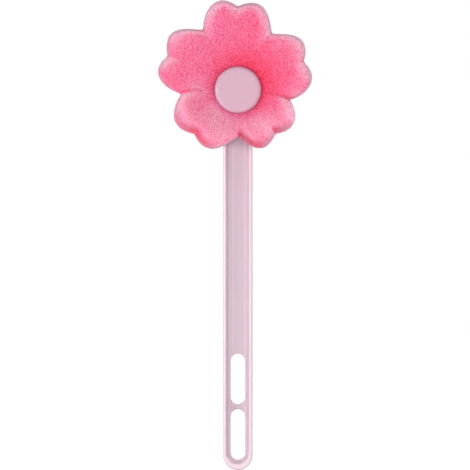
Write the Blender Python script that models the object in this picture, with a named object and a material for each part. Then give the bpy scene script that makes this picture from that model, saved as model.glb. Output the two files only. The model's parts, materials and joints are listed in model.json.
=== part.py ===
"""Sponge bottle brush: a moulded handle, a foam flower, and the snap button that holds it on.

Metres, +Z up. The origin is at the handle's lower end, on the centre line of its flat back.
The front of the brush, with the button, faces -Y. A place in front of the back plane is
given by its reach, which is minus its y.
"""
import math

import bmesh
import bpy

# Handle, a strip with a trough down its front, and a round head behind the flower
HUB_HEIGHT = 0.2223
HANDLE_WIDTH = 0.0172
HANDLE_DEPTH = 0.006
HANDLE_EDGE = 0.0007
HEAD_RADIUS = 0.0185
NECK_FILLET = 0.009
SIDE_LIP = 0.0016
END_LIP = 0.0035
TROUGH_WALL_LEAN = 0.0017
TROUGH_FLOOR_WIDTH = 0.0054
TROUGH_STOP = 0.0015
WEB = 0.0022
SHOULDER_DEPTH_SHARE = 0.87

# The two slots through the handle's lower end
SLOT_WIDTH = 0.0084
SLOT_START = 0.006
LOWER_SLOT_LENGTH = 0.0296
UPPER_SLOT_LENGTH = 0.0294
SLOT_BRIDGE = 0.003

# The back of the head: a ribbed pocket round the boss that the stem snaps into
HEAD_RIM = 0.0022
POCKET_DEPTH = 0.0032
RIB_THICKNESS = 0.0014
RIB_COUNT = 6
BOSS_WALL = 0.0017
SLEEVE_WALL = 0.0017
LATCH_DEPTH = 0.003
LATCH_ROOM = 0.001

# Button: a round cap pressed on a split stem with four hooked legs
CAP_DIAMETER = 0.0272
CAP_HEIGHT = 0.0055
CAP_EDGE = 0.0023
CAP_WALL = 0.0018
CAP_BOSS_WALL = 0.0022
STEM_DIAMETER = 0.008
HOOK_REACH = 0.0013
HOOK_LAND = 0.0005
TIP_SETBACK = 0.0006
SLIT_WIDTH = 0.0016
SLIT_LENGTH = 0.0134

# Foam flower: five petals of two lobes each, cut from a slab and pinched under the cap
PETAL_COUNT = 5
FLOWER_OFFSET = 0.0086
LOBE_ORBIT = 0.0333
LOBE_RADIUS = 0.0117
LOBE_TURN = math.radians(13)
NOTCH_RADIUS = 0.0335
PINCHED_FOAM = 0.0099
PETAL_THICKNESS = 0.02
PETAL_TILT = 0.0025
PETAL_LIFT = 0.004
WALL_LEAN = 0.003
WALL_LEAN_TILT = 0.0015
FRONT_ROUND = 0.003
BACK_ROUND = 0.004
CAP_PROUD = 0.0026
CREASE_DEPTH = 0.0035
STEEP_SHARE = 0.55
FACE_SHARES = (0.75, 0.5, 0.25)
ARC_MIDDLE_SHARE = 1 - math.sqrt(0.5)

# Clearance left between touching pieces, overrun of a cutter, and the merge distance
CLEARANCE = 0.0003
OVERRUN = 0.001
MERGE = 0.000005

# Facets of the round shapes
END_STEPS = 18
HEAD_STEPS = 44
FILLET_STEPS = 6
SLOT_STEPS = 12
BORE_STEPS = 40
CAP_STEPS = 64
EDGE_STEPS = 5
HALF_PETAL_STEPS = 8

# Sizes that follow from the ones above
BORE_RADIUS = STEM_DIAMETER / 2 + CLEARANCE
HOOK_RADIUS = STEM_DIAMETER / 2 + HOOK_REACH
LATCH_RADIUS = HOOK_RADIUS + LATCH_ROOM
BOSS_RADIUS = LATCH_RADIUS + BOSS_WALL
SLEEVE_RADIUS = BORE_RADIUS + SLEEVE_WALL
FOAM_BACK = HANDLE_DEPTH + CLEARANCE
FOAM_RECESS = FOAM_BACK + PINCHED_FOAM
CAP_BACK = FOAM_RECESS + CLEARANCE
CAP_FACE = CAP_BACK + CAP_HEIGHT
FOAM_LIP = CAP_FACE - CAP_PROUD
FOAM_HOLE_RADIUS = SLEEVE_RADIUS + CLEARANCE
FOAM_RECESS_RADIUS = CAP_DIAMETER / 2 + CLEARANCE
FLOWER_HEIGHT = HUB_HEIGHT + FLOWER_OFFSET
FLOWER_REACH = LOBE_ORBIT + LOBE_RADIUS


def point(across, height, reach):
    """A point given across the brush, up it, and forward of its back plane."""
    return (across, -reach, height)


def arc(across, height, radius, start, stop, steps):
    """Points along an arc in the brush's front plane, with both ends."""
    turns = [start + (stop - start) * step / steps for step in range(steps + 1)]
    return [(across + radius * math.cos(turn), height + radius * math.sin(turn)) for turn in turns]


def stadium(half_width, low, high, steps):
    """A slot outline: two half circles, centred at the two heights, and straight sides."""
    lower = arc(0, low, half_width, math.pi, 2 * math.pi, steps)
    upper = arc(0, high, half_width, 0, math.pi, steps)
    return lower + upper


def loft(outlines, ring=False):
    """Skin outlines of equal length into a closed shape. A ring joins its last to its first."""
    shape = bmesh.new()
    loops = [[shape.verts.new(place) for place in outline] for outline in outlines]
    pairs = list(zip(loops, loops[1:]))
    if ring:
        pairs.append((loops[-1], loops[0]))
    else:
        shape.faces.new(loops[0])
        shape.faces.new(loops[-1])
    for lower, upper in pairs:
        for index in range(len(lower)):
            after = (index + 1) % len(lower)
            shape.faces.new((lower[index], lower[after], upper[after], upper[index]))
    bmesh.ops.recalc_face_normals(shape, faces=shape.faces)
    return shape


def slab(outline, back, front):
    """A flat outline given a depth between two reaches."""
    return loft([[point(across, height, reach) for across, height in outline]
                 for reach in (back, front)])


def turned(profile, steps):
    """Spin a profile of radius and reach round the button's axis."""
    shape = bmesh.new()
    corners = [shape.verts.new(point(radius, HUB_HEIGHT, reach)) for radius, reach in profile]
    edges = [shape.edges.new(pair) for pair in zip(corners, corners[1:])]
    bmesh.ops.spin(shape, geom=corners + edges, cent=(0, 0, HUB_HEIGHT), axis=(0, 1, 0),
                   angle=2 * math.pi, steps=steps, use_merge=True)
    bmesh.ops.remove_doubles(shape, verts=shape.verts, dist=MERGE)
    bmesh.ops.recalc_face_normals(shape, faces=shape.faces)
    return shape


def box(half_width, half_height, back, front):
    """A block centred on the button's axis."""
    outline = [(-half_width, HUB_HEIGHT - half_height), (half_width, HUB_HEIGHT - half_height),
               (half_width, HUB_HEIGHT + half_height), (-half_width, HUB_HEIGHT + half_height)]
    return slab(outline, back, front)


def material(name, colour, roughness):
    """A plain Principled finish."""
    finish = bpy.data.materials.new(name)
    finish.use_nodes = True
    shader = finish.node_tree.nodes["Principled BSDF"]
    shader.inputs["Base Color"].default_value = (*colour, 1)
    shader.inputs["Roughness"].default_value = roughness
    shader.inputs["Metallic"].default_value = 0
    return finish


def place(name, shape, finish=None):
    """Turn a shape into an object of the scene, smooth where it is round."""
    mesh = bpy.data.meshes.new(name)
    shape.to_mesh(mesh)
    shape.free()
    mesh.shade_smooth()
    mesh.set_sharp_from_angle(angle=math.radians(35))
    item = bpy.data.objects.new(name, mesh)
    bpy.context.scene.collection.objects.link(item)
    if finish:
        mesh.materials.append(finish)
    return item


def combine(item, name, shape, operation):
    """Cut a shape out of an object, or unite the two, with a Boolean that stays live."""
    tool = place(name, shape)
    tool.hide_render = True
    tool.display_type = "WIRE"
    step = item.modifiers.new(name, "BOOLEAN")
    step.operation = operation
    step.solver = "EXACT"
    step.object = tool


def handle_outline():
    """The strip's round end, its sides, and the head, joined by a fillet at each side."""
    half = HANDLE_WIDTH / 2
    fillet_across = half + NECK_FILLET
    fillet_drop = math.sqrt((HEAD_RADIUS + NECK_FILLET) ** 2 - fillet_across ** 2)
    fillet_height = HUB_HEIGHT - fillet_drop
    to_hub = math.atan2(fillet_drop, -fillet_across)
    lower = arc(0, half, half, math.pi, 2 * math.pi, END_STEPS)
    right = arc(fillet_across, fillet_height, NECK_FILLET, math.pi, to_hub, FILLET_STEPS)
    head_start = to_hub - math.pi
    head = arc(0, HUB_HEIGHT, HEAD_RADIUS, head_start, math.pi - head_start, HEAD_STEPS)
    left = [(-across, height) for across, height in reversed(right)]
    return lower + right + head[1:-1] + left


def handle_body():
    """The handle before its trough and slots are cut, with its outer edges rounded."""
    shape = slab(handle_outline(), 0, HANDLE_DEPTH)
    rims = [edge for edge in shape.edges
            if abs(edge.verts[0].co.y - edge.verts[1].co.y) < MERGE]
    bmesh.ops.bevel(shape, geom=rims, offset=HANDLE_EDGE, offset_type="OFFSET", segments=2,
                    profile=0.5, affect="EDGES", clamp_overlap=True, material=-1)
    return shape


def trough():
    """The hollow down the front: a steep wall inside the lip, then a slope to a flat floor."""
    lip = HANDLE_WIDTH / 2 - SIDE_LIP
    shoulder = lip - TROUGH_WALL_LEAN
    low = END_LIP + lip
    high = HUB_HEIGHT - HEAD_RADIUS - TROUGH_STOP - lip
    depth = HANDLE_DEPTH - WEB
    stations = [(lip, HANDLE_DEPTH + OVERRUN), (lip, HANDLE_DEPTH),
                (shoulder, HANDLE_DEPTH - depth * SHOULDER_DEPTH_SHARE),
                (TROUGH_FLOOR_WIDTH / 2, WEB)]
    return loft([[point(across, height, reach)
                  for across, height in stadium(half_width, low, high, END_STEPS)]
                 for half_width, reach in stations])


def slot(start, length):
    """One slot through the handle, from its lower end's height and its length."""
    radius = SLOT_WIDTH / 2
    outline = stadium(radius, start + radius, start + length - radius, SLOT_STEPS)
    return slab(outline, -OVERRUN, HANDLE_DEPTH + OVERRUN)


def pockets():
    """The hollows in the head's back, between its rim, its boss and its ribs."""
    outer = HEAD_RADIUS - HEAD_RIM
    spoke = 2 * math.pi / RIB_COUNT
    outer_turn = math.asin(RIB_THICKNESS / 2 / outer)
    inner_turn = math.asin(RIB_THICKNESS / 2 / BOSS_RADIUS)
    steps = HEAD_STEPS // RIB_COUNT
    shape = bmesh.new()
    for index in range(RIB_COUNT):
        start = spoke * index
        stop = start + spoke
        outline = arc(0, HUB_HEIGHT, outer, start + outer_turn, stop - outer_turn, steps)
        outline += arc(0, HUB_HEIGHT, BOSS_RADIUS, stop - inner_turn, start + inner_turn, steps)
        pocket = slab(outline, -OVERRUN, POCKET_DEPTH)
        mesh = bpy.data.meshes.new("pocket")
        pocket.to_mesh(mesh)
        pocket.free()
        shape.from_mesh(mesh)
        bpy.data.meshes.remove(mesh)
    return shape


def bore():
    """The stem's bore, wider at the back where the hooks spread behind a ledge."""
    front = FOAM_RECESS + OVERRUN
    return turned([(0, front), (BORE_RADIUS, front), (BORE_RADIUS, LATCH_DEPTH),
                   (LATCH_RADIUS, LATCH_DEPTH), (LATCH_RADIUS, -OVERRUN), (0, -OVERRUN)],
                  BORE_STEPS)


def sleeve():
    """The tube on the head's front that passes through the foam and stops the cap."""
    root = HANDLE_DEPTH - OVERRUN
    return turned([(0, FOAM_RECESS), (SLEEVE_RADIUS, FOAM_RECESS), (SLEEVE_RADIUS, root),
                   (0, root)], BORE_STEPS)


def build_handle(plastic):
    """The moulded handle with its head, all one piece."""
    handle = place("handle", handle_body(), plastic)
    upper_start = SLOT_START + LOWER_SLOT_LENGTH + SLOT_BRIDGE
    combine(handle, "sleeve_tube", sleeve(), "UNION")
    combine(handle, "trough_cut", trough(), "DIFFERENCE")
    combine(handle, "lower_slot_cut", slot(SLOT_START, LOWER_SLOT_LENGTH), "DIFFERENCE")
    combine(handle, "upper_slot_cut", slot(upper_start, UPPER_SLOT_LENGTH), "DIFFERENCE")
    combine(handle, "pocket_cut", pockets(), "DIFFERENCE")
    combine(handle, "bore_cut", bore(), "DIFFERENCE")


def build_cap(plastic):
    """The button's cap, hollow behind, with a socket for the stem in its boss."""
    radius = CAP_DIAMETER / 2
    ceiling = CAP_FACE - CAP_WALL
    boss = BORE_RADIUS + CAP_BOSS_WALL
    profile = [(0, CAP_FACE)]
    for step in range(EDGE_STEPS + 1):
        turn = math.pi / 2 * step / EDGE_STEPS
        profile.append((radius - CAP_EDGE * (1 - math.sin(turn)),
                        CAP_FACE - CAP_EDGE * (1 - math.cos(turn))))
    profile += [(radius, CAP_BACK), (radius - CAP_WALL, CAP_BACK), (radius - CAP_WALL, ceiling),
                (boss, ceiling), (boss, CAP_BACK), (BORE_RADIUS, CAP_BACK), (BORE_RADIUS, ceiling),
                (0, ceiling)]
    place("button_cap", turned(profile, CAP_STEPS), plastic)


def build_stem(plastic):
    """The stem, split into four legs whose hooks hold behind the handle's ledge."""
    radius = STEM_DIAMETER / 2
    top = CAP_FACE - CAP_WALL - CLEARANCE
    hook = LATCH_DEPTH - CLEARANCE
    profile = [(0, top), (radius, top), (radius, hook), (HOOK_RADIUS, hook),
               (HOOK_RADIUS, hook - HOOK_LAND), (radius, TIP_SETBACK), (0, TIP_SETBACK)]
    stem = place("snap_stem", turned(profile, BORE_STEPS), plastic)
    half_slit = SLIT_WIDTH / 2
    wide = HOOK_RADIUS + OVERRUN
    back = TIP_SETBACK - OVERRUN
    front = TIP_SETBACK + SLIT_LENGTH
    combine(stem, "slit_across", box(wide, half_slit, back, front), "DIFFERENCE")
    combine(stem, "slit_upright", box(half_slit, wide, back, front), "DIFFERENCE")


def petal_edge(turn):
    """The flower outline's radius at an angle: two lobes to each petal, notches between."""
    petal = 2 * math.pi / PETAL_COUNT
    off_axis = abs((turn - math.pi / 2 + petal / 2) % petal - petal / 2)
    off_lobe = off_axis - LOBE_TURN
    chord = LOBE_RADIUS ** 2 - (LOBE_ORBIT * math.sin(off_lobe)) ** 2
    if chord <= 0:
        return NOTCH_RADIUS
    return max(NOTCH_RADIUS, LOBE_ORBIT * math.cos(off_lobe) + math.sqrt(chord))


def creased(turn):
    """One at the line between two petals, nothing a step to either side of it."""
    petal = 2 * math.pi / PETAL_COUNT
    step = petal / (2 * HALF_PETAL_STEPS)
    off_notch = abs((turn - math.pi / 2) % petal - petal / 2)
    return max(0, 1 - off_notch / step)


def spread(across, height):
    """How far out from the cap a place on the flower is: 0 at the cap, 1 at the lobes' reach."""
    up = height - HUB_HEIGHT
    distance = math.hypot(across, up)
    rise = up / distance
    half_chord = math.sqrt(FLOWER_REACH ** 2 - (FLOWER_OFFSET * across / distance) ** 2)
    reach = FLOWER_OFFSET * rise + half_chord
    return (distance - FOAM_RECESS_RADIUS) / (reach - FOAM_RECESS_RADIUS), rise


def foam_front(across, height, turn):
    """Reach of the flower's front, cupped round the cap and creased between the petals."""
    out, rise = spread(across, height)
    crest = FOAM_BACK + PETAL_LIFT + PETAL_THICKNESS - PETAL_TILT * rise
    climb = STEEP_SHARE * out * (2 - out) + (1 - STEEP_SHARE) * out
    return FOAM_LIP + (crest - FOAM_LIP) * climb - CREASE_DEPTH * creased(turn) * out


def foam_back(across, height):
    """Reach of the flower's back: flat on the head, then lifting forward to the petals."""
    out, _ = spread(across, height)
    flat, _ = spread(0, HUB_HEIGHT + HEAD_RADIUS)
    lift = max(0, out - flat) / (1 - flat)
    return FOAM_BACK + PETAL_LIFT * lift


def foam_section(turn):
    """The foam's closed section at an angle round the flower, from its hole's back edge."""
    def near(radius):
        return radius * math.cos(turn), HUB_HEIGHT + radius * math.sin(turn)

    def rim(inset):
        radius = petal_edge(turn) - inset
        return radius * math.cos(turn), FLOWER_HEIGHT + radius * math.sin(turn)

    def between(share, inner, outer):
        return tuple(low + (high - low) * share for low, high in zip(inner, outer))

    lean = WALL_LEAN - WALL_LEAN_TILT * math.sin(turn)
    edge = rim(lean + FRONT_ROUND)
    back = foam_back(*rim(BACK_ROUND))
    front = foam_front(*edge, turn)
    lip = near(FOAM_RECESS_RADIUS)
    section = [(near(FOAM_HOLE_RADIUS), FOAM_BACK), (near(HEAD_RADIUS), FOAM_BACK),
               (rim(BACK_ROUND), back),
               (rim(BACK_ROUND * ARC_MIDDLE_SHARE), back + BACK_ROUND * ARC_MIDDLE_SHARE),
               (rim(0), back + BACK_ROUND),
               (rim(lean / 2), (back + BACK_ROUND + front - FRONT_ROUND) / 2),
               (rim(lean), front - FRONT_ROUND),
               (rim(lean + FRONT_ROUND * ARC_MIDDLE_SHARE), front - FRONT_ROUND * ARC_MIDDLE_SHARE),
               (edge, front)]
    for share in FACE_SHARES:
        inner = between(share, lip, edge)
        section.append((inner, foam_front(*inner, turn)))
    section += [(lip, FOAM_LIP), (lip, FOAM_RECESS), (near(FOAM_HOLE_RADIUS), FOAM_RECESS)]
    return [point(across, height, reach) for (across, height), reach in section]


def build_flower(foam):
    """The foam flower, skinned from its sections all the way round."""
    count = 2 * HALF_PETAL_STEPS * PETAL_COUNT
    turns = [math.pi / 2 + 2 * math.pi * index / count for index in range(count)]
    sections = [foam_section(turn) for turn in turns]
    place("sponge_flower", loft(sections, ring=True), foam)


def main():
    """Clear the scene and build the brush."""
    for item in list(bpy.data.objects):
        bpy.data.objects.remove(item)
    handle_plastic = material("handle_plastic", (0.75, 0.53, 0.62), 0.35)
    button_plastic = material("button_plastic", (0.72, 0.45, 0.56), 0.3)
    foam = material("flower_foam", (0.93, 0.15, 0.28), 0.95)
    build_handle(handle_plastic)
    build_cap(button_plastic)
    build_stem(button_plastic)
    build_flower(foam)


main()
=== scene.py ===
# %% [markdown]
# # A sponge bottle brush
#
# This lesson dresses a brush for bottles and mugs: a long flat handle moulded in pale
# mauve plastic, a flower cut from pink foam, and a round button that pinches the flower
# against the handle. The sizes and the moving bodies come from a frame that is already
# packed. The lesson adds the surfaces that the eye sees, and moves none of the frame.

# %% Load the frame
import json
import math

import bmesh
import bpy
from mathutils import Matrix, Vector, noise

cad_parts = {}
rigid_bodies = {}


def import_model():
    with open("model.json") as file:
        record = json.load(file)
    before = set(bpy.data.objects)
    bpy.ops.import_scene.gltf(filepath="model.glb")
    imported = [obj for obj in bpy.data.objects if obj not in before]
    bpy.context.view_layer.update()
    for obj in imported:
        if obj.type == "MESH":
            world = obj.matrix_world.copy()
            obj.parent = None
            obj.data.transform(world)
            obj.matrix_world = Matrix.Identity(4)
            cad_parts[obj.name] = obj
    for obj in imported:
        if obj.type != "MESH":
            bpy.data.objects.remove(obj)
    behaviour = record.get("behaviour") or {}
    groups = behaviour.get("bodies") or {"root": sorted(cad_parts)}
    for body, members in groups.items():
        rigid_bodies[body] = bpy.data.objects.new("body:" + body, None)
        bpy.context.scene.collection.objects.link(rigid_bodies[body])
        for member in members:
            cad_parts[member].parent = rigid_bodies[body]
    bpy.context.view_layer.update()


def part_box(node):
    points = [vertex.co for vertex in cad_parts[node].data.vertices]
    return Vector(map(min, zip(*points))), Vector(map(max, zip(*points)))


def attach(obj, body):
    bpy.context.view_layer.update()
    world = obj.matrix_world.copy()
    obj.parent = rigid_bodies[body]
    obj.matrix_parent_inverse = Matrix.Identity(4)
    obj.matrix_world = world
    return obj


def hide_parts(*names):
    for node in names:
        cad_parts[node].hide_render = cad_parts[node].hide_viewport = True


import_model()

MM = 0.001

# %% [markdown]
# ## Reading the sizes
#
# The button's box gives the axis that everything on the head is centred on. A place in
# front of the handle's flat back is called its reach here, and y is minus the reach, so
# that numbers grow towards the person who looks at the flower.

# %% The places that the pieces share
handle_low, handle_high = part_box("handle")
cap_low, cap_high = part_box("button_cap")
_, foam_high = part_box("sponge_flower")
HUB = Vector(((cap_low[0] + cap_high[0]) / 2, 0, (cap_low[2] + cap_high[2]) / 2))
CAP_RADIUS = (cap_high[0] - cap_low[0]) / 2
CAP_FACE = -cap_low[1]
CAP_BACK = -cap_high[1]
FOAM_BACK = -foam_high[1]
HEAD_RADIUS = (handle_high[0] - handle_low[0]) / 2
CLEARANCE = 0.3 * MM
print("hub height", round(HUB.z, 4), "cap radius", round(CAP_RADIUS, 4))

# %% [markdown]
# ## Small helpers
#
# A colour is written as it looks on a screen, as a hex value, and a shader wants it
# linear. One function turns one into the other. A second adds a node with its settings
# and its links, so that each material below reads as a short list.


# %% Colour and node helpers
def linear(code):
    """A hex colour as the linear red, green, blue and alpha that a shader reads."""
    parts = [int(code[place:place + 2], 16) / 255 for place in (0, 2, 4)]
    return [part / 12.92 if part <= 0.04045 else ((part + 0.055) / 1.055) ** 2.4
            for part in parts] + [1]


def add_node(tree, kind, settings=None, **inputs):
    """Add a node, set its properties, and fill or link its inputs by name or by place."""
    node = tree.nodes.new(kind)
    for name, value in (settings or {}).items():
        setattr(node, name, value)
    for name, value in inputs.items():
        socket = node.inputs[int(name[1:]) if name[0] == "i" and name[1:].isdigit()
                             else name.replace("_", " ")]
        if isinstance(value, bpy.types.NodeSocket):
            tree.links.new(value, socket)
        else:
            socket.default_value = value
    return node


print("foam pink in linear light:", [round(part, 3) for part in linear("F77090")])

# %% [markdown]
# ## The camera
#
# The brush is seen square on, from far away, so that its handle keeps one width from end
# to end. A long lens does that. The frame takes in the brush's whole height, and the
# lens and that height give the distance.

# %% The camera
LENS_MM = 600
SENSOR_MM = 36
FRAME_HEIGHT = 274.95 * MM
AIM = Vector((-1.7 * MM, -6 * MM, 137.6 * MM))

camera_data = bpy.data.cameras.new("camera")
camera_data.lens = LENS_MM
camera_data.sensor_width = SENSOR_MM
camera = bpy.data.objects.new("camera", camera_data)
camera.location = AIM + Vector((0, -FRAME_HEIGHT * LENS_MM / SENSOR_MM, 0))
camera.rotation_euler = (math.pi / 2, 0, 0)
bpy.context.scene.collection.objects.link(camera)
bpy.context.scene.camera = camera
print("camera stands", round(-camera.location.y, 3), "m in front")

# %% [markdown]
# ## The floor and the light
#
# The floor is plain and pale, and the world behind it is white to the camera and in
# reflections, through the Light Path node, so the white adds no light to the brush. An
# even dome fills the shadows. A broad low lamp in front shines under the petals. A small
# one far to the left puts a highlight on the left side of every moulded edge, and a
# larger one on the right lights the petals that face it. A weak one in the middle reaches
# the handle between the two lower petals. These last two aren't mirrored in the plastic,
# so its highlights lie to the left. One behind lifts the handle's back and the petals'
# far walls. The last one shines straight down on the pale floor, which sends its light up
# to the petals' undersides.

# %% The floor and the world
bpy.context.scene.view_settings.view_transform = "Standard"
AMBIENT = 0.345


def seen_white(tree):
    """One where a ray comes straight from the camera, a reflection or a clear material."""
    path = add_node(tree, "ShaderNodeLightPath")
    first = add_node(tree, "ShaderNodeMath", {"operation": "MAXIMUM"},
                     i0=path.outputs["Is Camera Ray"], i1=path.outputs["Is Glossy Ray"])
    return add_node(tree, "ShaderNodeMath", {"operation": "MAXIMUM"},
                    i0=first.outputs[0], i1=path.outputs["Is Transmission Ray"]).outputs[0]


world = bpy.data.worlds.new("studio")
bpy.context.scene.world = world
world.use_nodes = True
tree = world.node_tree
tree.nodes.clear()
dim = add_node(tree, "ShaderNodeBackground", Color=linear("FFFFFF"), Strength=AMBIENT)
white = add_node(tree, "ShaderNodeBackground", Color=linear("FFFFFF"), Strength=1)
sky = add_node(tree, "ShaderNodeMixShader", i0=seen_white(tree),
               i1=dim.outputs[0], i2=white.outputs[0])
add_node(tree, "ShaderNodeOutputWorld", Surface=sky.outputs[0])

GLOW = 1.31
GLOW_SHARE = 0.7
floor_finish = bpy.data.materials.new("pale_floor")
floor_finish.use_nodes = True
tree = floor_finish.node_tree
tree.nodes.clear()
paint = add_node(tree, "ShaderNodeBsdfDiffuse", Color=linear("F2F2F2"))
glow = add_node(tree, "ShaderNodeEmission", Color=linear("FFFFFF"), Strength=GLOW)
share = add_node(tree, "ShaderNodeMath", {"operation": "MULTIPLY"},
                 i0=seen_white(tree), i1=GLOW_SHARE)
cover = add_node(tree, "ShaderNodeMixShader", i0=share.outputs[0],
                 i1=paint.outputs[0], i2=glow.outputs[0])
add_node(tree, "ShaderNodeOutputMaterial", Surface=cover.outputs[0])

FLOOR_SIZE = 12
shape = bmesh.new()
bmesh.ops.create_grid(shape, x_segments=1, y_segments=1, size=FLOOR_SIZE / 2,
                      matrix=Matrix.Translation((0, 0, handle_low[2])))
floor_mesh = bpy.data.meshes.new("floor")
shape.to_mesh(floor_mesh)
shape.free()
floor_mesh.materials.append(floor_finish)
floor = bpy.data.objects.new("floor", floor_mesh)
bpy.context.scene.collection.objects.link(floor)
print("floor", FLOOR_SIZE, "m across")


# %% The lamps
def lamp(name, place, width, height, watts, target=AIM, spread=180, mirrored=True):
    """A soft oblong lamp that points at the brush's middle, or elsewhere, and may be mirrored."""
    data = bpy.data.lights.new(name, "AREA")
    data.shape = "RECTANGLE"
    data.size = width
    data.size_y = height
    data.energy = watts
    data.spread = math.radians(spread)
    item = bpy.data.objects.new(name, data)
    item.location = place
    item.rotation_euler = (Vector(target) - Vector(place)).to_track_quat("-Z", "Y").to_euler()
    item.visible_glossy = mirrored
    bpy.context.scene.collection.objects.link(item)


lamp("front", (-0.65, -1.4, 0.1), 1, 0.18, 3.6)
lamp("left", (-1.8, -0.8, 0.2), 0.22, 0.3, 12)
lamp("right", (1.2, -1.24, 0.25), 1, 0.36, 5.4, mirrored=False)
lamp("middle", (0, -1.5, 0.27), 0.2, 0.08, 2.9, mirrored=False)
lamp("back", (0.9, 1.3, 0.9), 1.2, 0.8, 8)
lamp("floor", (0, -0.6, 0.6), 0.5, 0.3, 1, (0, -0.45, 0), 80)
print("six lamps")

# %% [markdown]
# ## The moulded plastic
#
# Handle and button are injection-moulded polypropylene. It comes out of a polished steel
# tool smooth and a little waxy: a broad soft highlight, no sharp reflection, and a faint
# unevenness where the melt flowed and shrank. The colour is dyed through, so it only
# drifts slightly. A low fine bump keeps the highlight alive. Towards its front lip the
# handle's plastic turns to a paler tone, which is painted light: it stands in for the
# highlight on the rounded lip and the shade in the trough below it. The button keeps its
# own colour there.


# %% The moulded plastic
def moulded_plastic(name, colour, drift_colour, roughness, lip_light_colour):
    """Dyed polypropylene: an even colour with faint flow in it, painted paler towards the front.
    """
    finish = bpy.data.materials.new(name)
    finish.use_nodes = True
    tree = finish.node_tree
    tree.nodes.clear()
    place = add_node(tree, "ShaderNodeTexCoord")
    flow = add_node(tree, "ShaderNodeTexNoise", Vector=place.outputs["Object"],
                    Scale=1 / FLOW_SIZE, Detail=2, Roughness=0.5)
    grain = add_node(tree, "ShaderNodeTexNoise", Vector=place.outputs["Object"],
                     Scale=1 / TOOL_GRAIN, Detail=3, Roughness=0.6)
    tone = add_node(tree, "ShaderNodeMix", {"data_type": "RGBA"}, Factor=flow.outputs["Fac"])
    tone.inputs[6].default_value = linear(colour)
    tone.inputs[7].default_value = linear(drift_colour)
    along = add_node(tree, "ShaderNodeSeparateXYZ", Vector=place.outputs["Object"])
    # Painted light: the handle turns paler towards its front lip, for the lip's highlight and the
    # trough's shade.
    lip_light = add_node(tree, "ShaderNodeMapRange", {"interpolation_type": "SMOOTHSTEP"},
                    Value=along.outputs["Y"], From_Min=-LIP_LIGHT_FROM, From_Max=-LIP_LIGHT_TO)
    body = add_node(tree, "ShaderNodeMix", {"data_type": "RGBA"}, Factor=lip_light.outputs[0],
                    i6=tone.outputs[2])
    body.inputs[7].default_value = linear(lip_light_colour)
    sheen = add_node(tree, "ShaderNodeMapRange", Value=grain.outputs["Fac"],
                     To_Min=roughness - SHEEN_DOWN, To_Max=roughness + SHEEN_UP)
    lift = add_node(tree, "ShaderNodeBump", Height=grain.outputs["Fac"],
                    Strength=0.12, Distance=0.02 * MM)
    shader = add_node(tree, "ShaderNodeBsdfPrincipled", Roughness=sheen.outputs[0],
                      Base_Color=body.outputs[2], Normal=lift.outputs[0], IOR=PLASTIC_IOR)
    add_node(tree, "ShaderNodeOutputMaterial", Surface=shader.outputs[0])
    return finish


FLOW_SIZE = 18 * MM
TOOL_GRAIN = 0.9 * MM
# Where the painted lip light starts and ends, in front of the handle's back.
LIP_LIGHT_FROM = 5.1 * MM
LIP_LIGHT_TO = 5.9 * MM
SHEEN_DOWN = 0.04
SHEEN_UP = 0.06
PLASTIC_IOR = 1.49
handle_plastic = moulded_plastic("moulded_polypropylene_handle", "D2BCC7", "D0B8C5", 0.34,
                                 "E9D3DD")
button_plastic = moulded_plastic("moulded_polypropylene_button", "D1A8BB", "CEA5B8", 0.25,
                                 "D1A8BB")
print("plastics:", handle_plastic.name, button_plastic.name)

# %% [markdown]
# ## The foam
#
# The flower is open-cell polyurethane foam, cut from a block. Its skin is a web of torn
# cell walls: small dark pores with paler struts between them, no highlight at all, and a
# soft bloom where the surface turns away from the eye. The mesh stores a tone for each
# point as an attribute. It deepens the pink at the button, partly because the squeezed
# foam is denser there and partly as painted shade, and it pales the cut edges that face up
# and right as painted light. Struts and pores each have a row of three pinks for it, from
# the pale painted-light one to the deep one. The pores use two scales of pattern, mottling
# of about 1 mm and cells of 0.6 mm.


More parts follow.
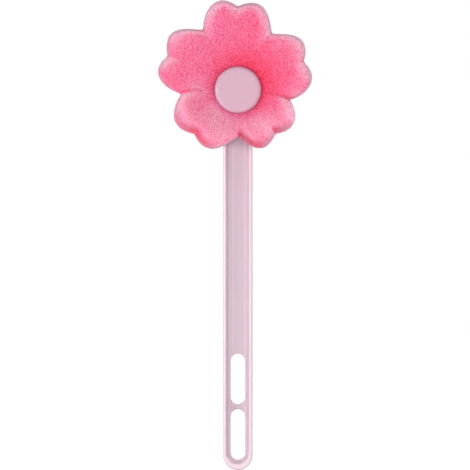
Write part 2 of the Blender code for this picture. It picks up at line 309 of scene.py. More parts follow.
# %% The foam
def cut_foam():
    """Open-cell foam: pores and pale struts, in pinks set by squeeze, painted light and painted
    shade.
    """
    finish = bpy.data.materials.new("open_cell_polyurethane_foam")
    finish.use_nodes = True
    tree = finish.node_tree
    tree.nodes.clear()
    place = add_node(tree, "ShaderNodeTexCoord")
    shade_and_squeeze = add_node(tree, "ShaderNodeAttribute", {"attribute_name": "foam_shade_and_squeeze"})
    cells = add_node(tree, "ShaderNodeTexVoronoi", Vector=place.outputs["Object"],
                     Scale=1 / PORE_SIZE)
    mottle = add_node(tree, "ShaderNodeTexNoise", Vector=place.outputs["Object"],
                      Scale=1 / MOTTLE_SIZE, Detail=3, Roughness=0.7)
    speck = add_node(tree, "ShaderNodeMath", {"operation": "MULTIPLY_ADD"},
                     i0=cells.outputs["Distance"], i1=CELL_SHARE, i2=mottle.outputs["Fac"])
    pore = add_node(tree, "ShaderNodeMapRange", Value=speck.outputs[0],
                    From_Min=STRUT_LEVEL, From_Max=PORE_LEVEL)
    tones = []
    # Each row runs from a pale pink of painted light through the face's pink to a deep pink of
    # squeeze and painted shade.
    for colours in (STRUT_LIT_TO_SHADED, PORE_LIT_TO_SHADED):
        tone = add_node(tree, "ShaderNodeValToRGB", Fac=shade_and_squeeze.outputs["Fac"])
        tone.color_ramp.elements.new(FACE_SHADE_LEVEL)
        for stop, colour in zip(tone.color_ramp.elements, colours):
            stop.color = linear(colour)
        tones.append(tone.outputs["Color"])
    body = add_node(tree, "ShaderNodeMix", {"data_type": "RGBA"}, Factor=pore.outputs[0],
                    i6=tones[0], i7=tones[1])
    lift = add_node(tree, "ShaderNodeBump", {"invert": True}, Height=speck.outputs[0],
                    Strength=0.8, Distance=0.3 * MM)
    shader = add_node(tree, "ShaderNodeBsdfPrincipled", Base_Color=body.outputs[2],
                      Roughness=0.95, Normal=lift.outputs[0], IOR=1.3)
    shader.inputs["Sheen Weight"].default_value = 0.35
    shader.inputs["Sheen Roughness"].default_value = 0.5
    shader.inputs["Sheen Tint"].default_value = linear("FFE3EA")
    shader.inputs["Subsurface Weight"].default_value = 0.85
    shader.inputs["Subsurface Radius"].default_value = (8, 1.6, 2.6)
    shader.inputs["Subsurface Scale"].default_value = MM
    add_node(tree, "ShaderNodeOutputMaterial", Surface=shader.outputs[0])
    return finish


# The stored tone's middle, and the rows of pinks: pale for painted light, deep for squeezed foam
# and painted shade.
FACE_SHADE_LEVEL = 0.635
STRUT_LIT_TO_SHADED = ("FFDCE6", "FF9ABE", "FF5A86")
PORE_LIT_TO_SHADED = ("F28AAE", "E84C78", "E60A36")
PORE_SIZE = 0.6 * MM
MOTTLE_SIZE = 0.95 * MM
CELL_SHARE = 0.5
STRUT_LEVEL = 0.5
PORE_LEVEL = 0.95
foam_finish = cut_foam()
print("foam:", foam_finish.name)

# %% [markdown]
# ## Ways of working the meshes
#
# Every hard piece here starts as one flat face and grows out of it. `trace` draws that
# face's outline with straight runs and swings of a point, as compasses would.
# `step_face` insets and pushes the face again and again, which makes a wall, a rounded
# edge or a hollow whose every step follows the outline by itself. `softened` rounds the
# corners of the profile that the steps follow.


# %% Mesh helpers
def trace(start, moves):
    """A face that looks forward. A move is a run, or a swing of (centre, angle, steps)."""
    shape = bmesh.new()
    tip = shape.verts.new(start)
    for move in moves:
        if len(move) == 3 and hasattr(move[0], "x"):
            centre, angle, steps = move
            swung = bmesh.ops.spin(shape, geom=[tip], cent=centre, axis=(0, 1, 0),
                                   angle=angle, steps=steps)
            tip = [item for item in swung["geom_last"] if isinstance(item, bmesh.types.BMVert)][0]
        else:
            grown = bmesh.ops.extrude_vert_indiv(shape, verts=[tip])
            tip = grown["verts"][0]
            tip.co += Vector(move)
    bmesh.ops.remove_doubles(shape, verts=shape.verts, dist=WELD)
    bmesh.ops.edgenet_fill(shape, edges=close_ring(shape))
    return shape, facing_forward(shape)


def close_ring(shape):
    """Join the two ends of a drawn line, if they are still apart, and give all its edges."""
    ends = [corner for corner in shape.verts if len(corner.link_edges) == 1]
    if ends:
        shape.edges.new(ends)
    return shape.edges[:]


def facing_forward(shape):
    """The shape's only face, turned to look along -Y."""
    shape.normal_update()
    shape.faces.ensure_lookup_table()
    face = shape.faces[0]
    if face.normal.y > 0:
        face.normal_flip()
    return face


def disc(radius, reach, facets):
    """A round face that looks forward, centred on the button's axis."""
    shape = bmesh.new()
    turn = Matrix.Translation((HUB.x, -reach, HUB.z)) @ Matrix.Rotation(math.pi / 2, 4, "X")
    bmesh.ops.create_circle(shape, cap_ends=True, segments=facets, radius=radius, matrix=turn)
    return shape, facing_forward(shape)


def stadium(half, low, high, reach, steps):
    """A stretched face: half circles centred at two heights, with straight sides."""
    return trace((half, -reach, low), [(Vector((0, -reach, low)), math.pi, steps),
                                       (0, 0, high - low),
                                       (Vector((0, -reach, high)), math.pi, steps)])


def softened(points, cut):
    """A profile with each inner corner rounded, starting the curve `cut` before it."""
    path = [Vector(points[0])]
    for before, corner, after in zip(points, points[1:], points[2:]):
        before, corner, after = Vector(before), Vector(corner), Vector(after)
        room = min(cut, (before - corner).length / 2, (after - corner).length / 2)
        start = corner + (before - corner).normalized() * room
        stop = corner + (after - corner).normalized() * room
        for index in range(CORNER_PIECES + 1):
            share = index / CORNER_PIECES
            path.append(start.lerp(corner, share).lerp(corner.lerp(stop, share), share))
    return path + [Vector(points[-1])]


def quarter_turn(steps):
    """The angles of a quarter of a circle, from 0 on, in equal steps."""
    return [math.pi / 2 * step / steps for step in range(steps + 1)]


def step_face(shape, face, path):
    """Grow a face along a profile of (half width, reach) by insets and pushes."""
    for here, there in zip(path, path[1:]):
        if (there - here).length > WELD:
            bmesh.ops.inset_region(shape, faces=[face], thickness=here.x - there.x,
                                   depth=there.y - here.y, use_boundary=True,
                                   use_even_offset=True)


def close(shape):
    """Cap what is open, and point every face outwards."""
    rim = [edge for edge in shape.edges if edge.is_boundary]
    bmesh.ops.holes_fill(shape, edges=rim, sides=0)
    bmesh.ops.recalc_face_normals(shape, faces=shape.faces)
    return shape


def round_edges(shape, width, segments, test):
    """Bevel the edges that a test picks."""
    picked = [edge for edge in shape.edges if test(edge)]
    bmesh.ops.bevel(shape, geom=picked, offset=width, offset_type="OFFSET", segments=segments,
                    profile=0.5, affect="EDGES", clamp_overlap=True, material=-1)
    return len(picked)


def flat_rim(edge):
    """True for an edge of the front or back outline."""
    level = abs(edge.verts[0].co.y - edge.verts[1].co.y) < WELD
    return level and edge.calc_face_angle(0) > SHARP


WELD = 0.001 * MM
CORNER_PIECES = 5
SHARP = 1
print("mesh helpers ready")


# %% Object helpers
def store(name, shape, finish=None):
    """Keep a mesh as a smooth object at the origin."""
    mesh = bpy.data.meshes.new(name)
    shape.to_mesh(mesh)
    shape.free()
    mesh.shade_smooth()
    if finish:
        mesh.materials.append(finish)
    piece = bpy.data.objects.new(name, mesh)
    bpy.context.scene.collection.objects.link(piece)
    return piece


def settle(piece):
    """Keep what the modifiers made of a piece, and drop the modifiers."""
    graph = bpy.context.evaluated_depsgraph_get()
    made = bpy.data.meshes.new_from_object(piece.evaluated_get(graph))
    piece.modifiers.clear()
    piece.data = made


def carve(piece, shape, operation="DIFFERENCE"):
    """Cut a shape out of a piece, or join it on, and throw the shape away."""
    tool = store("tool", shape)
    step = piece.modifiers.new("carve", "BOOLEAN")
    step.operation = operation
    step.solver = "EXACT"
    step.object = tool
    settle(piece)
    bpy.data.objects.remove(tool)


def ease_corners(piece, width, segments, test):
    """Bevel the corners that a test picks, close what that leaves open, and count them."""
    shape = bmesh.new()
    shape.from_mesh(piece.data)
    bmesh.ops.remove_doubles(shape, verts=shape.verts, dist=WELD)
    bmesh.ops.dissolve_degenerate(shape, edges=shape.edges, dist=WELD)
    count = round_edges(shape, width, segments, test)
    close(shape)
    shape.to_mesh(piece.data)
    shape.free()
    piece.data.shade_smooth()
    return count


def even_shading(piece):
    """Let a piece's large flat faces rule how its rounded edges are shaded."""
    shading = piece.modifiers.new("even_shading", "WEIGHTED_NORMAL")
    shading.keep_sharp = True


print("object helpers ready")

# %% [markdown]
# ## The handle
#
# The handle is one moulding: a strip 17 mm wide and 6 mm deep, and a round head behind
# the flower. Down the strip's front runs a trough with a rounded lip, a steep wall, a
# small fillet at its foot and a slope to a floor that rises a hair in its middle. I trace
# the whole outline once, grow it to its depth and round both rims, then cut the trough
# with a tool that is grown along the trough's own profile, so lip and fillet come out
# finely rounded.

# %% The outline and the trough
STRIP_HALF = 8.6 * MM
DEPTH = 6 * MM
RIM_ROUND = 1.2 * MM
LIP_FLARE = 0.3 * MM
NECK_FILLET = 9 * MM
SIDE_LIP = 1.9 * MM
END_LIP = 3.5 * MM
WALL_LEAN = 1.4 * MM
FLOOR_HALF = 3.4 * MM
WEB = 2.2 * MM
SHOULDER_REACH = 2.45 * MM
FLOOR_RISE = 0.3 * MM
TROUGH_STOP = 1.5 * MM
TROUGH_SHIFT = -0.3 * MM
TROUGH_EASE = 0.5 * MM
OVERRUN = 1 * MM
END_STEPS = 48
NECK_STEPS = 16
HEAD_STEPS = 120
TROUGH_STEPS = 40
RIM_PIECES = 6


def handle_blank():
    """The strip and its head in one outline, with both rims rounded."""
    across = STRIP_HALF + NECK_FILLET
    drop = math.sqrt((HEAD_RADIUS + NECK_FILLET) ** 2 - across ** 2)
    swing = math.atan2(drop, across)
    neck = HUB.z - drop
    shape, face = trace((STRIP_HALF, 0, STRIP_HALF), [
        (Vector((0, 0, STRIP_HALF)), math.pi, END_STEPS),
        (0, 0, neck - STRIP_HALF),
        (Vector((-across, 0, neck)), -swing, NECK_STEPS),
        (HUB, math.pi + 2 * swing, HEAD_STEPS),
        (Vector((across, 0, neck)), -swing, NECK_STEPS)])
    step_face(shape, face, [Vector((0, 0)), Vector((0, DEPTH))])
    close(shape)
    round_edges(shape, RIM_ROUND, RIM_PIECES, flat_rim)
    return shape


def trough():
    """The tool that hollows the front: lip, wall, fillet, slope and floor."""
    lip = STRIP_HALF - SIDE_LIP
    flare = lip + LIP_FLARE
    top = HUB.z - HEAD_RADIUS - TROUGH_STOP - lip
    corners = [(flare, DEPTH + OVERRUN), (flare, DEPTH), (lip, DEPTH - LIP_FLARE),
               (lip - WALL_LEAN, SHOULDER_REACH), (FLOOR_HALF, WEB),
               (FLOOR_HALF / 2, WEB + FLOOR_RISE), (FLOOR_HALF / 4, WEB + FLOOR_RISE)]
    path = softened(corners, TROUGH_EASE)
    shape, face = stadium(path[0].x, END_LIP + lip, top, path[0].y, TROUGH_STEPS)
    step_face(shape, face, path)
    bmesh.ops.translate(shape, verts=shape.verts, vec=(TROUGH_SHIFT, 0, 0))
    return close(shape)


handle = store("brush_handle", handle_blank(), handle_plastic)
carve(handle, trough())
print("handle faces so far:", len(handle.data.polygons))

# %% [markdown]
# ## Slots, pockets and the bore
#
# Two slots go through the lower end, so the brush can hang on a hook. The back of the
# head is cored out between six ribs, as a moulder does to keep walls even. A boss in
# its middle holds the bore, which widens behind a ledge where the stem's hooks spread.
# In front, a sleeve runs through the foam to stop the button at the right depth.

# %% Cuts through the handle
SLOT_HALF = 4.2 * MM
SLOT_START = 6 * MM
SLOT_LENGTHS = (29.6 * MM, 29.4 * MM)
SLOT_BRIDGE = 3 * MM
SLOT_ROUND = 0.35 * MM
SLOT_PIECES = 3
SLOT_STEPS = 24
SLOT_MARGIN = OVERRUN / 5
CUT_SHARP = 0.9


def cut_slots():
    """Both slots, from the lower one up."""
    start = SLOT_START
    for length in SLOT_LENGTHS:
        shape, face = stadium(SLOT_HALF, start + SLOT_HALF, start + length - SLOT_HALF,
                              -OVERRUN, SLOT_STEPS)
        step_face(shape, face, [Vector((0, 0)), Vector((0, DEPTH + 2 * OVERRUN))])
        carve(handle, close(shape))
        start += length + SLOT_BRIDGE
    return start - SLOT_BRIDGE


def slot_rim(edge):
    """True for a sharp edge round a slot."""
    middle = (edge.verts[0].co + edge.verts[1].co) / 2
    return (middle.z < slots_end + OVERRUN and abs(middle.x) < SLOT_HALF + SLOT_MARGIN
            and edge.calc_face_angle(0) > CUT_SHARP)


slots_end = cut_slots()
print("slot rims eased:", ease_corners(handle, SLOT_ROUND, SLOT_PIECES, slot_rim))

# %% The head's back
HEAD_WALL = 2.2 * MM
POCKET_OUTER = HEAD_RADIUS - HEAD_WALL
BOSS_RADIUS = 8 * MM
RIB = 1.4 * MM
RIBS = 6
POCKET_DEPTH = 3.2 * MM
BORE_RADIUS = 4.3 * MM
LATCH_RADIUS = 6.3 * MM
LATCH_DEPTH = 3 * MM
SLEEVE_RADIUS = 6 * MM
SLEEVE_END = CAP_BACK - CLEARANCE
POCKET_ROUND = 0.8 * MM
POCKET_PIECES = 3
POCKET_OUTER_STEPS = 20
POCKET_INNER_STEPS = 12
POCKET_SHARP = 0.7
BORE_FACETS = 64
SMALL_ROUND = 0.25 * MM
SMALL_PIECES = 2


def pocket_corner(edge):
    """True for a corner of a pocket, which runs along its depth."""
    upright = abs(edge.verts[0].co.y - edge.verts[1].co.y) > WELD
    return upright and edge.calc_face_angle(0) > POCKET_SHARP


def pocket(turn):
    """One hollow of the head's back, between two ribs, with rounded corners."""
    half = math.pi / RIBS
    inner = half - math.asin(RIB / 2 / BOSS_RADIUS)
    outer = half - math.asin(RIB / 2 / POCKET_OUTER)
    hub = HUB + Vector((0, OVERRUN, 0))

    def at(radius, angle):
        return hub + Vector((radius * math.cos(angle), 0, radius * math.sin(angle)))

    start, far = at(BOSS_RADIUS, inner), at(POCKET_OUTER, outer)
    near = at(BOSS_RADIUS, -inner) - at(POCKET_OUTER, -outer)
    shape, face = trace(start, [far - start, (hub, 2 * outer, POCKET_OUTER_STEPS), near,
                                (hub, -2 * inner, POCKET_INNER_STEPS)])
    step_face(shape, face, [Vector((0, 0)), Vector((0, OVERRUN + POCKET_DEPTH))])
    close(shape)
    round_edges(shape, POCKET_ROUND, POCKET_PIECES, pocket_corner)
    bmesh.ops.rotate(shape, verts=shape.verts, cent=HUB, matrix=Matrix.Rotation(-turn, 3, "Y"))
    return shape


def round_step(path):
    """A round tool or tube on the button's axis, grown along a profile."""
    shape, face = disc(path[0].x, path[0].y, BORE_FACETS)
    step_face(shape, face, path)
    return close(shape)


def head_rim(edge):
    """True for a sharp edge on the head's back, its bore or its sleeve."""
    middle = (edge.verts[0].co + edge.verts[1].co) / 2
    return middle.z > HUB.z - HEAD_RADIUS and edge.calc_face_angle(0) > CUT_SHARP


carve(handle, round_step([Vector((SLEEVE_RADIUS, DEPTH - OVERRUN)),
                          Vector((SLEEVE_RADIUS, SLEEVE_END))]), "UNION")
for index in range(RIBS):
    carve(handle, pocket(2 * math.pi * (index + 0.5) / RIBS))
carve(handle, round_step([Vector((LATCH_RADIUS, -OVERRUN)), Vector((LATCH_RADIUS, LATCH_DEPTH)),
                          Vector((BORE_RADIUS, LATCH_DEPTH)),
                          Vector((BORE_RADIUS, SLEEVE_END + OVERRUN))]))
print("head corners eased:", ease_corners(handle, SMALL_ROUND, SMALL_PIECES, head_rim))
even_shading(handle)
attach(handle, "handle")
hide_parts("handle")

# %% [markdown]
# ## The button
#
# The button is a round cap with a plain flat face and a generously rounded edge, hollow
# behind, with a socket for its stem. A disc is grown to its face along that profile. The
# hollow is the back face, inset and pushed in, and the socket's boss rises again from
# the hollow's floor. The stem is a frame part whose shape is already right, so it only
# gets the plastic.

# %% The button
CAP_EDGE = 2.4 * MM
CAP_ARC = 10
CAP_FACETS = 128
CAP_WALL = 1.8 * MM
SOCKET_WALL = 2.2 * MM


def back_rim(edge):
    """True for a sharp edge of the cap's back face."""
    return (edge.calc_face_angle(0) > SHARP
            and all(abs(end.co.y + CAP_BACK) < WELD for end in edge.verts))


def cap():
    """The cap: a disc grown from its back round to its face, then hollowed from behind."""
    ceiling = CAP_FACE - CAP_WALL
    boss = BORE_RADIUS + SOCKET_WALL
    shape, face = disc(CAP_RADIUS, CAP_BACK, CAP_FACETS)
    step_face(shape, face, [Vector((CAP_RADIUS, CAP_BACK))] + [
        Vector((CAP_RADIUS - CAP_EDGE * (1 - math.cos(bend)),
                CAP_FACE - CAP_EDGE * (1 - math.sin(bend)))) for bend in quarter_turn(CAP_ARC)])
    close(shape)
    back = min(shape.faces, key=lambda item: (-item.calc_center_median().y, -len(item.verts)))
    step_face(shape, back, [Vector((CAP_RADIUS, 0)), Vector((CAP_RADIUS - CAP_WALL, 0)),
                            Vector((CAP_RADIUS - CAP_WALL, CAP_BACK - ceiling)),
                            Vector((boss, CAP_BACK - ceiling)), Vector((boss, 0)),
                            Vector((BORE_RADIUS, 0)), Vector((BORE_RADIUS, CAP_BACK - ceiling))])
    round_edges(shape, SMALL_ROUND, SMALL_PIECES, back_rim)
    return shape


button = store("button_face", cap(), button_plastic)
even_shading(button)
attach(button, "button")
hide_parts("button_cap")
stem = next(item for item in bpy.data.objects if item.name == "snap_stem")
stem.data.materials.clear()
stem.data.materials.append(button_plastic)
print("cap faces:", len(button.data.polygons))

# %% [markdown]
# ## The foam flower
#
# The flower is cut from a slab of foam as five petals of two lobes each, and the button
# pulls its middle back against the head, so the petals cup forward and show their cut
# walls. The two lower petals lie over the handle, stand further forward than the others,
# lean up and a little to the right, and have a rounder edge. The outline swings between
# lobes, the dips at the petals' tips and the notches between petals, each with its own
# angle and reach, because soft foam never lies quite regularly. A ring of points at the
# hole is extruded outwards over the back, up the wall, over the rounded edge and down the
# cupped front, and every ring is laid on the section's formula. The recess is drawn half
# a millimetre tighter than the cap, as squeezed foam hugs it, so the two overlap there.

# %% The outline of the petals
FLOWER = HUB + Vector((-0.8 * MM, 0, 8.3 * MM))
OUTLINE = [(26, 43.8, 0.5), (50, 32.4, 0.4), (74, 44, 0.1), (89, 40.7, 0.1),
           (102.5, 45.1, 0), (126, 33.4, 0.5), (149.5, 45.8, 0.1), (164, 42, 0.1),
           (176, 46.05, 0), (198, 34.2, 0.12), (220, 45.3, 0.1), (234, 42.3, 0.1),
           (247, 45.8, 0.5), (271, 36, 0.5), (290.5, 45, 0.1), (304, 41, 0.1),
           (316, 43.8, 0), (335, 33.9, 0), (358.5, 44.2, 0.1), (12, 40.3, 0.05)]
CREASES = [(50, 0.8, 0.4, 0), (126, 0.8, 0.4, 0), (198, 2.2, 0.1, -20), (271, 2.5, 0.5, 0),
           (335, 2.2, 0.1, 11)]
TIP_DIPS = [(234, 2.2), (304, 2.2)]
LOW_ARCS = [(200, 258), (271, 322)]
FORWARD = [-0.5, 0, 2.8, 2.8, 0]
CREASE_BLEND = 1.8
CREASE_END = 0.6
ARC_FADE = 14


def wrapped(angle):
    """An angle in degrees brought between -180 and 180."""
    return (angle + 180) % 360 - 180


def petal_edge(angle):
    """The outline's radius at an angle in degrees, in metres."""
    for (start, first, bend), (stop, second, _) in zip(OUTLINE, OUTLINE[1:] + OUTLINE[:1]):
        span = (stop - start) % 360
        share = ((angle - start) % 360) / span
        if share <= 1:
            low, high = sorted((first, second))
            climb = math.sin(math.pi / 2 * (share if first < second else 1 - share))
            return (low + (high - low) * climb * (1 - bend + bend * climb)) * MM


def wall_shown(angle):
    """1 where a lower petal turns its rounded wall to the eye, and 0 past the arc's end."""
    return max(smooth(stop - angle, 0, ARC_FADE) if angle >= start else 0
               for start, stop in LOW_ARCS)


def inset(place):
    """How far inside the outline a place lies, seen from the front."""
    ray = place - FLOWER
    return petal_edge(math.degrees(math.atan2(ray.z, ray.x))) - math.hypot(ray.x, ray.z)


def smooth(value, low, high):
    """A smooth step from 0 to 1 between two values."""
    share = max(0, min(1, (value - low) / (high - low)))
    return share * share * (3 - 2 * share)


def crease(angle, out):
    """The nearest crease, the degrees to it, and how far forward the petal stands here."""
    gaps = [wrapped(angle - base - swing * max(0, CREASE_END - out))
            for base, _, _, swing in CREASES]
    nearest = min(range(len(gaps)), key=lambda index: abs(gaps[index]))
    before, after = FORWARD[nearest - 1], FORWARD[nearest]
    step = smooth(gaps[nearest], -CREASE_BLEND, CREASE_BLEND)
    return CREASES[nearest], gaps[nearest], (before + (after - before) * step) * MM


print("widest lobe", max(reach for _, reach, _ in OUTLINE), "mm")

# %% The section of the foam
HOLE_RADIUS = SLEEVE_RADIUS + CLEARANCE
RECESS = CAP_BACK - CLEARANCE
FOAM_HUG = 0.5 * MM
RECESS_RADIUS = CAP_RADIUS - FOAM_HUG
LIP_DROP = 2.7 * MM
LIP = CAP_FACE - LIP_DROP
CREST = 27.8 * MM
CREST_TILT = 0.5 * MM
SIDE_TILT = 1.3 * MM
TAIL_SHARE = 0.35
STEEP = (1.8, 0.4, -0.2)
FORWARD_START = (0.1, -0.1, 0)
FORWARD_SPAN = 0.6
PETAL_LIFT = 4 * MM
LIFT_SPAN = (0.1, 1.3)
LOW_SPAN = (0.1, 0.6)
SIDE_LEAN = 1.2 * MM
LOW_LEAN = 1.2 * MM
LOW_SHIFT = Vector((1.6, 0, 1.6)) * MM
SHIFT_KEPT = 0.4
FRONT_ROUND = 1.7 * MM
LOW_ROUND = 4.5 * MM
BACK_ROUND = 3 * MM
CREASE_WIDE = 1.8 * MM
CREASE_SPAN = 0.4
CROWN = 1.3 * MM
CROWN_WIDE = 10 * MM
CROWN_SPAN = (0.3, 0.8)
MEAN_REACH = 45 * MM
DIP_WIDE = 2.6 * MM
DIP_SPAN = (0.55, 0.95)


def tilted(weights, side, rise):
    """A middle value, changed by how far to the right and how far up a place lies."""
    middle, rightward, upward = weights
    return middle + rightward * side + upward * rise


def out_share(place):
    """How far out a place is, 0 at the cap and 1 at the lobes, and its ray's side and rise."""
    ray = place - HUB
    away = ray.length
    side, rise = ray.x / away, ray.z / away
    offset = FLOWER.z - HUB.z
    edge = offset * rise + math.sqrt(MEAN_REACH ** 2 - (offset * side) ** 2)
    return (away - RECESS_RADIUS) / (edge - RECESS_RADIUS), side, rise


def from_fold(angle, base):
    """How far an angle is from a fold's own, in widths of the fold."""
    return math.radians(wrapped(angle - base)) * MEAN_REACH / DIP_WIDE


def tip_dip(angle):
    """How deep the fold between a lower petal's two lobes is at an angle."""
    return sum(deep * MM * math.exp(-from_fold(angle, base) ** 2) for base, deep in TIP_DIPS)


def front_reach(place, angle):
    """The cupped front: a funnel at the cap, a flatter face, and creases between petals."""
    out, side, rise = out_share(place)
    out = max(0, out)
    (_, deep, start, _), gap, forward = crease(angle, out)
    sideways = math.radians(gap) * (place - HUB).length
    valley = (deep * MM * math.exp(-(sideways / CREASE_WIDE) ** 2)
              * smooth(out, start, start + CREASE_SPAN))
    dip = tip_dip(angle) * smooth(out, *DIP_SPAN)
    crown = CROWN * (1 - smooth(inset(place), 0, CROWN_WIDE)) * smooth(out, *CROWN_SPAN)
    steep = tilted(STEEP, side, rise)
    climb = (1 - TAIL_SHARE) * (1 - (1 - min(out, 1)) ** steep) + TAIL_SHARE * out
    begin = tilted(FORWARD_START, side, rise)
    crest = CREST - CREST_TILT * rise + SIDE_TILT * side
    return (LIP + (crest - LIP) * climb + forward * smooth(out, begin, begin + FORWARD_SPAN)
            - valley - crown - dip)


def back_reach(place):
    """The back: flat on the head, lifting forward towards the petals."""
    out = out_share(place)[0]
    return FOAM_BACK + PETAL_LIFT * smooth(out, *LIFT_SPAN)


def section(angle):
    """The foam's section at an angle, from the hole's back edge round to its front edge."""
    turn = math.radians(angle)
    away = Vector((math.cos(turn), 0, math.sin(turn)))
    low = smooth(-away.z, *LOW_SPAN)
    shown = wall_shown(angle)
    lean = SIDE_LEAN + (LOW_LEAN * shown - SIDE_LEAN) * low
    rounding = FRONT_ROUND + (LOW_ROUND - FRONT_ROUND) * low * shown
    shift = LOW_SHIFT * low * (SHIFT_KEPT + (1 - SHIFT_KEPT) * shown)

    def rim(inward, share=0):
        return FLOWER + away * (petal_edge(angle) - inward) + shift * share

    edge = rim(lean + rounding, 1)
    ray = (edge - HUB).normalized()
    back_edge = rim(BACK_ROUND)
    back = back_reach(back_edge)
    front = front_reach(edge, angle)
    hole, recess = HUB + ray * HOLE_RADIUS, HUB + ray * RECESS_RADIUS
    places = [(hole, FOAM_BACK)]
    for share in BACK_RINGS:
        place = hole.lerp(back_edge, share)
        places.append((place, back_reach(place)))
    for bend in quarter_turn(ROUND_RINGS):
        places.append((rim(BACK_ROUND * (1 - math.sin(bend))),
                       back + BACK_ROUND * (1 - math.cos(bend))))
    wall_low, wall_high = back + BACK_ROUND, front - rounding
    for share in WALL_RINGS:
        places.append((rim(lean * share, share), wall_low + (wall_high - wall_low) * share))
    for bend in quarter_turn(ROUND_RINGS):
        places.append((rim(lean + rounding * (1 - math.cos(bend)), 1),
                       front - rounding * (1 - math.sin(bend))))
    for share in FACE_RINGS:
        place = edge.lerp(recess, share)
        places.append((place, front_reach(place, angle)))
    places += [(recess, RECESS), (hole, RECESS)]
    return [Vector((place.x, -reach, place.z)) for place, reach in places]


BACK_RINGS = [0.2, 0.4, 0.6, 0.8]
ROUND_RINGS = 6
WALL_RINGS = [0.25, 0.5, 0.75]
FACE_COUNT = 36
FACE_RINGS = [index / FACE_COUNT for index in range(1, FACE_COUNT + 1)]
print("rings in a section:", len(section(90)))


# %% The foam's mesh
FLOWER_FACETS = 480


def flower_blank():
    """Extrude the hole's ring over the whole section and weld the last ring to the first."""
    sections = [section(360 * index / FLOWER_FACETS) for index in range(FLOWER_FACETS)]
    shape = bmesh.new()
    ring = [shape.verts.new(points[0]) for points in sections]
    edges = [shape.edges.new((ring[index - 1], ring[index])) for index in range(FLOWER_FACETS)]
    order = {corner: index for index, corner in enumerate(ring)}
    for level in list(range(1, len(sections[0]))) + [0]:
        grown = bmesh.ops.extrude_edge_only(shape, edges=edges)["geom"]
        corners = [item for item in grown if isinstance(item, bmesh.types.BMVert)]
        edges = [item for item in grown if isinstance(item, bmesh.types.BMEdge)]
        order = place_ring(corners, order, sections, level)
    bmesh.ops.remove_doubles(shape, verts=shape.verts, dist=WELD)
    bmesh.ops.recalc_face_normals(shape, faces=shape.faces)
    return shape


def place_ring(corners, order, sections, level):
    """Move a new ring onto the sections. Each corner knows its place from the ring below."""
    placed = {}
    for corner in corners:
        below = next(edge.other_vert(corner) for edge in corner.link_edges
                     if edge.other_vert(corner) in order)
        placed[corner] = order[below]
    for corner, index in placed.items():
        corner.co = sections[index][level]
    return placed


flower = store("foam_flower", flower_blank(), foam_finish)
print("flower faces:", len(flower.data.polygons))

# %% [markdown]
# ## Pores, and painted light and shade
#
# A remesh gives the foam a skin of even small faces. Its points are then pushed in by a
# cell pattern, as the torn cells of real foam lie. These cells are coarser than the
# shader's pores, because the skin's faces are half a millimetre. The tone that deepens
# the colour is worked out for each point. It is deepest near the button, partly where the
# foam is squeezed and partly as painted shade, and paler along the petals' cut edges that
# face up or right, as painted light. The undersides and folds of the lower petals get
# painted shade, and a few soft spots, listed one by one, are painted lighter or darker
# than the rest.

# %% Pores, and painted light and shade
SKIN = 0.5 * MM
RELAX = 0.5
RELAX_ROUNDS = 4
PORE_CELL = 1.3 * MM
PORE_DEEP = 0.2 * MM
PORE_WALL = 2.2
# The foam's stored tone: squeeze and painted shade at the button, painted light and shade on the
# petals.
SQUEEZE_SHADOW_FADE = (7, 3, 4)
SQUEEZE_SHADOW_STRENGTH = (0.8, 0.2, 0.1)
SQUEEZE_SHADOW_POWER = 1.5
RIM_WIDE = 6.5
RIM_WIDER = 6
LIT_RIGHT, LIT_LEFT, LIT_UP = 0.6, 0.15, 0.8
LIT_SPAN = (-0.1, 0.9)
LOW_TINT_SPAN = (0.2, 0.7)
SIDE_SHADE = 0.04
LOW_PALE = 0.3
RIM_LIGHT_PALE = 0.72
WALL_PALE = 0.4
EDGE_BACK = 17 * MM
EDGE_FRONT = 23 * MM
SHADE_BACK = 10 * MM
SHADE_FRONT = 18 * MM
UNDER_SHADE = 0.58
UNDER_RIGHT, UNDER_UP = 0.6, 0.8
UNDER_SPAN = (0.1, 0.8)
UNDER_WIDE = (2 * MM, 6 * MM)
FOLD_SHADES = [(234, 0.1), (274, 0.25)]
FOLD_WIDE = 6 * MM
BEHIND_SHADE = 0.15
EDGE_LIGHT = -0.1
EDGE_WIDE = 2.4 * MM
EDGE_SPAN = (0.1, 0.5)
ANGLE_ROUNDS = 4
# Soft spots of painted light, with a negative change, and of painted shade, with a positive one.
SPOT_SIZE = 6 * MM
LIGHT_AND_SHADE_SPOTS = [(-14, -31, -0.12), (-32, -21, -0.25), (15, -29, -0.17), (-23, -8, -0.25),
              (36, -11, -0.35), (-28, 26, -0.26), (27, 21, -0.2), (16, 31, 0.1),
              (-37, -15, 0.2), (-22, -33, 0.18), (12, -37, 0.12)]


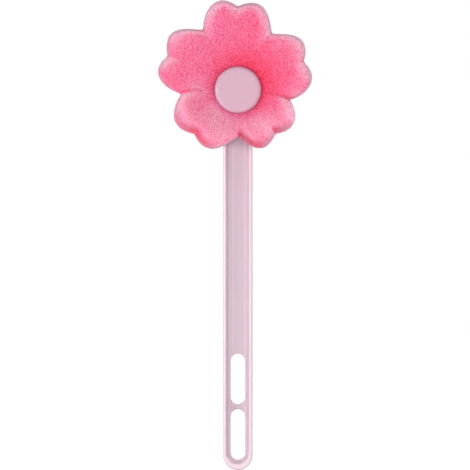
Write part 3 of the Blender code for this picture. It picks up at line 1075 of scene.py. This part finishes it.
def shade_and_squeeze(place):
    """How deep the foam's pink is: squeeze and painted shade at the button, painted light on some
    edges.
    """
    ray = place - HUB
    away = math.hypot(ray.x, ray.z)
    side, rise = ray.x / away, ray.z / away
    # Deeper pink round the button: partly squeezed foam, partly the cap's painted shadow, stronger
    # to its right.
    fade = tilted(SQUEEZE_SHADOW_FADE, side, rise) * MM
    strength = tilted(SQUEEZE_SHADOW_STRENGTH, side, rise)
    squeeze_and_cap_shadow = strength * math.exp(-(max(0, away - CAP_RADIUS) / fade) ** SQUEEZE_SHADOW_POWER)
    inside = inset(place)
    right = (inside - inset(place + Vector((MM, 0, 0)))) / MM
    up = (inside - inset(place + Vector((0, 0, MM)))) / MM
    # Painted light: a paler band along the cut edges that face up or right, weaker on the walls
    # behind.
    rim = 1 - smooth(inside, 0, (RIM_WIDE + RIM_WIDER * abs(right)) * MM)
    lit = LIT_RIGHT * max(0, right) - LIT_LEFT * min(0, right) + LIT_UP * up
    low = smooth(-rise, *LOW_TINT_SPAN)
    near_front = smooth(-place.y, EDGE_BACK, EDGE_FRONT)
    painted_rim_light = rim * smooth(lit, *LIT_SPAN) * (WALL_PALE + (1 - WALL_PALE) * near_front)
    # Painted shade deepens the pink a little towards the right; painted light makes the lower
    # petals paler.
    painted_tone = FACE_SHADE_LEVEL + SIDE_SHADE * side - LOW_PALE * low - RIM_LIGHT_PALE * painted_rim_light
    angle = math.degrees(math.atan2((place - FLOWER).z, (place - FLOWER).x))
    # Painted shade on the down-facing rounded walls of the lower petals, towards their front.
    downward = smooth(-UNDER_RIGHT * right - UNDER_UP * up, *UNDER_SPAN)
    under = low * wall_shown(angle % 360) * downward
    shade_reach = smooth(-place.y, SHADE_BACK, SHADE_FRONT)
    painted_tone += UNDER_SHADE * under * (1 - smooth(inside, *UNDER_WIDE)) * shade_reach
    # Soft spots of painted light and painted shade.
    for across, height, change in LIGHT_AND_SHADE_SPOTS:
        spot = place - FLOWER - Vector((across, 0, height)) * MM
        painted_tone += change * math.exp(-(spot.x ** 2 + spot.z ** 2) / SPOT_SIZE ** 2)
    # Painted shade in a lower petal's tip fold and in the notch between the lower petals.
    for base, tint in FOLD_SHADES:
        painted_tone += (tint * math.exp(-from_fold(angle, base) ** 2)
                  * (1 - smooth(inside, 0, FOLD_WIDE)) * shade_reach)
    painted_tone += crease_light_and_shade(place, away, side, rise)
    return max(0, painted_tone + (1 - painted_tone) * squeeze_and_cap_shadow)


def section_angle(side, rise):
    """The angle of the section that runs from the button's axis in a direction."""
    reach = MEAN_REACH
    for _ in range(ANGLE_ROUNDS):
        edge = (FLOWER.z - HUB.z) * rise + math.sqrt(reach ** 2 - ((FLOWER.z - HUB.z) * side) ** 2)
        outer = HUB + Vector((side, 0, rise)) * edge - FLOWER
        angle = math.degrees(math.atan2(outer.z, outer.x))
        reach = petal_edge(angle)
    return angle


def crease_light_and_shade(place, away, side, rise):
    """Painted shade just behind a petal's raised edge, and painted light on the edge itself."""
    out = out_share(place)[0]
    fold, gap, forward = crease(section_angle(side, rise), out)
    if fold[3] == 0:
        return 0
    sideways = math.radians(gap) * away / EDGE_WIDE
    amount = BEHIND_SHADE if forward < max(FORWARD) * MM / 2 else EDGE_LIGHT
    return amount * math.exp(-sideways ** 2) * smooth(out, *EDGE_SPAN)


def even_skin(piece):
    """Rebuild the foam's skin with faces of one size, then relax it a little."""
    step = piece.modifiers.new("skin", "REMESH")
    step.mode = "VOXEL"
    step.voxel_size = SKIN
    relax = piece.modifiers.new("relax", "SMOOTH")
    relax.factor = RELAX
    relax.iterations = RELAX_ROUNDS
    settle(piece)
    piece.data.shade_smooth()


def press_pores(piece):
    """Push the points in at the cells, and store at each its tone of squeeze, painted light and
    shade.
    """
    mesh = piece.data
    note = mesh.attributes.new("foam_shade_and_squeeze", "FLOAT", "POINT")
    normals = [corner.normal.copy() for corner in mesh.vertices]
    for corner, normal, value in zip(mesh.vertices, normals, note.data):
        place = corner.co.copy()
        near, far = noise.voronoi(place / PORE_CELL)[0][:2]
        corner.co = place - normal * PORE_DEEP * (1 - min(1, (far - near) * PORE_WALL))
        value.value = shade_and_squeeze(place)


even_skin(flower)
press_pores(flower)
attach(flower, "sponge")
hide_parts("sponge_flower")
print("foam skin:", len(flower.data.polygons), "faces")
